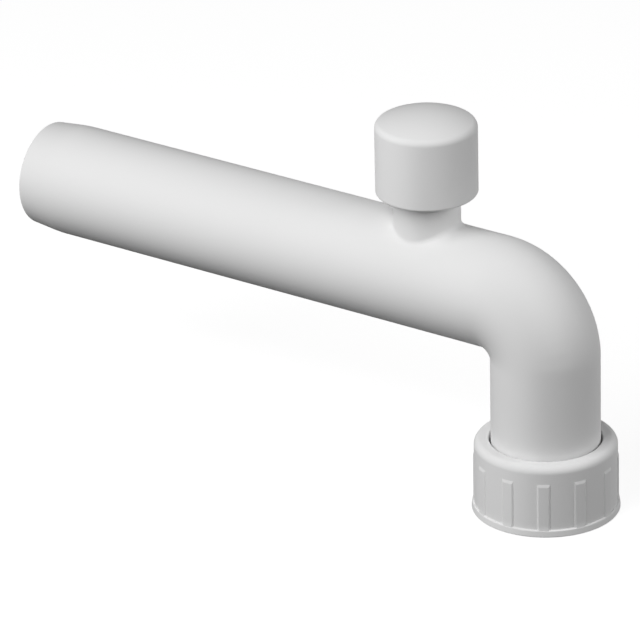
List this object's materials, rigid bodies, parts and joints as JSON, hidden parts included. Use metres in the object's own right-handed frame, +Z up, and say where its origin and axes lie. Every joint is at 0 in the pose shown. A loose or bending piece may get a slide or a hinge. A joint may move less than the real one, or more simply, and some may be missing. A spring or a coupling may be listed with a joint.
{
  "type": "waste outlet bend with vacuum valve",
  "caption": "Right-angle plastic waste outlet bend with a long plain spigot arm, a ribbed union nut for the trap and a capped vacuum valve on a stub that lets air into the pipe.",
  "frame": {"origin": "centre of the union nut's open mouth, on the leg's axis", "axes": "+Z up along the leg, the long arm runs towards -X, Y completes the right-handed frame"},
  "size_m": [0.2472, 0.0538, 0.1426],
  "materials": {
    "white_plastic": "satin moulded polypropylene",
    "natural_plastic": "satin moulded polypropylene",
    "black_rubber": "matte moulded rubber"
  },
  "bodies": {
    "bend": {"outlet_bend": "white_plastic", "sealing_washer": "black_rubber", "valve_seat": "natural_plastic", "seat_o_ring": "black_rubber", "valve_cap": "white_plastic"},
    "nut": {"union_nut": "white_plastic"},
    "membrane": {"valve_membrane": "black_rubber", "membrane_carrier": "natural_plastic"}
  },
  "joints": [
    {"name": "union_nut_turn", "type": "hinge", "parent": "bend", "child": "nut", "pos_m": [0, 0, 0], "axis": [0, 0, 1], "continuous": true},
    {"name": "membrane_lift", "type": "slide", "parent": "bend", "child": "membrane", "axis": [0, 0, 1], "range_m": [0, 0.003]}
  ]
}
